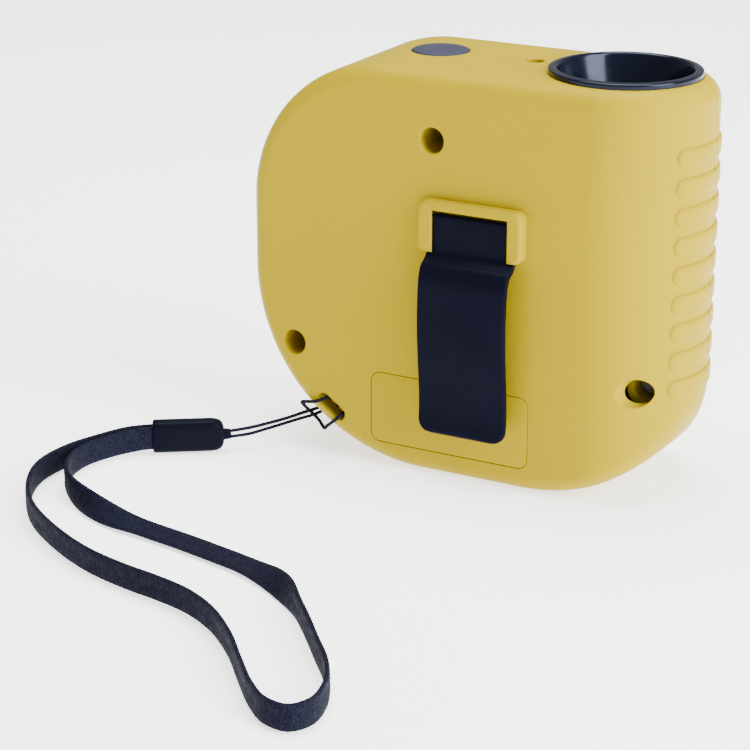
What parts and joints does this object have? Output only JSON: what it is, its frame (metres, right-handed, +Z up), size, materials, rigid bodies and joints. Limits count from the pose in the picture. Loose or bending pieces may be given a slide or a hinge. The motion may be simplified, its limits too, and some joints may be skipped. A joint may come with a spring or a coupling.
{
  "type": "ultrasonic distance meter",
  "caption": "Handheld distance meter with a round-ended case, a sound horn and laser pointer on top, a belt clip on the back and a wrist strap.",
  "frame": {"origin": "middle of the bottom of the bounding box of the object without its wrist strap", "axes": "+X along the case to its round end, +Y from the back face with the belt clip to the display face, +Z up to the horn"},
  "size_m": [0.1411, 0.1755, 0.1003],
  "materials": {
    "yellow_shell": "fine-textured moulded plastic",
    "clip_black": "satin moulded plastic",
    "horn_black": "polished moulded plastic",
    "gasket_rubber": "matt rubber",
    "sensor_can": "satin drawn can",
    "brass": "turned",
    "lens_glass": "clear",
    "circuit_board": "solder mask",
    "button_grey": "satin moulded plastic",
    "component_black": "moulded",
    "screw_steel": "zinc plated",
    "lcd_glass": "polished",
    "silicone": "matt silicone",
    "window_clear": "clear polished plastic",
    "battery_case": "printed sleeve over a metal case",
    "wire_red": "wire insulation",
    "wire_black": "wire insulation",
    "strap_fabric": "woven nylon",
    "slider_black": "satin moulded plastic"
  },
  "bodies": {
    "case": {"rear_shell": "yellow_shell", "front_shell": "yellow_shell", "label_plate": "yellow_shell", "horn": "horn_black", "transducer_gasket": "gasket_rubber", "ultrasonic_transducer": "sensor_can", "laser_barrel": "brass", "laser_lens": "lens_glass", "laser_board": "circuit_board", "button_board": "circuit_board", "main_board": "circuit_board", "button_switch": "component_black", "controller_chip": "component_black", "drive_transformer": "component_black", "buzzer": "component_black", "battery_snap": "component_black", "lcd_frame": "component_black", "reservoir_capacitor": "component_black", "timing_crystal": "screw_steel", "door_hinge_pin": "screw_steel", "case_screw_1": "screw_steel", "case_screw_2": "screw_steel", "case_screw_3": "screw_steel", "board_screw_1": "screw_steel", "board_screw_2": "screw_steel", "board_screw_3": "screw_steel", "board_screw_4": "screw_steel", "lcd_glass": "lcd_glass", "lcd_connector": "silicone", "key_mat": "silicone", "display_window": "window_clear", "battery_9v": "battery_case", "battery_lead_red": "wire_red", "transducer_lead_1": "wire_red", "laser_lead": "wire_red", "battery_lead_black": "wire_black", "transducer_lead_2": "wire_black", "strap_ribbon": "strap_fabric", "strap_cord": "strap_fabric", "strap_slider": "slider_black"},
    "read_button": {"read_button": "button_grey"},
    "belt_clip": {"belt_clip": "clip_black"},
    "battery_door": {"battery_door": "yellow_shell"},
    "key_1": {"key_1": "button_grey"},
    "key_2": {"key_2": "button_grey"},
    "key_3": {"key_3": "button_grey"},
    "key_4": {"key_4": "button_grey"},
    "key_5": {"key_5": "button_grey"},
    "key_6": {"key_6": "button_grey"}
  },
  "joints": [
    {"name": "read_button_press", "type": "slide", "parent": "case", "child": "read_button", "axis": [0, 0, -1], "range_m": [0, 0.001], "stiffness_N_per_m": 600, "springref_m": -0.0015},
    {"name": "belt_clip_slide", "type": "slide", "parent": "case", "child": "belt_clip", "axis": [0, 0, -1], "range_m": [0, 0.009]},
    {"name": "battery_door_hinge", "type": "hinge", "parent": "case", "child": "battery_door", "pos_m": [0.0172, -0.00613, 0.0014], "axis": [0, -1, 0], "range_deg": [0, 100]},
    {"name": "key_1_press", "type": "slide", "parent": "case", "child": "key_1", "axis": [0, -1, 0], "range_m": [0, 0.0007], "stiffness_N_per_m": 700, "springref_m": -0.001},
    {"name": "key_2_press", "type": "slide", "parent": "case", "child": "key_2", "axis": [0, -1, 0], "range_m": [0, 0.0007], "stiffness_N_per_m": 700, "springref_m": -0.001},
    {"name": "key_3_press", "type": "slide", "parent": "case", "child": "key_3", "axis": [0, -1, 0], "range_m": [0, 0.0007], "stiffness_N_per_m": 700, "springref_m": -0.001},
    {"name": "key_4_press", "type": "slide", "parent": "case", "child": "key_4", "axis": [0, -1, 0], "range_m": [0, 0.0007], "stiffness_N_per_m": 700, "springref_m": -0.001},
    {"name": "key_5_press", "type": "slide", "parent": "case", "child": "key_5", "axis": [0, -1, 0], "range_m": [0, 0.0007], "stiffness_N_per_m": 700, "springref_m": -0.001},
    {"name": "key_6_press", "type": "slide", "parent": "case", "child": "key_6", "axis": [0, -1, 0], "range_m": [0, 0.0007], "stiffness_N_per_m": 700, "springref_m": -0.001}
  ]
}
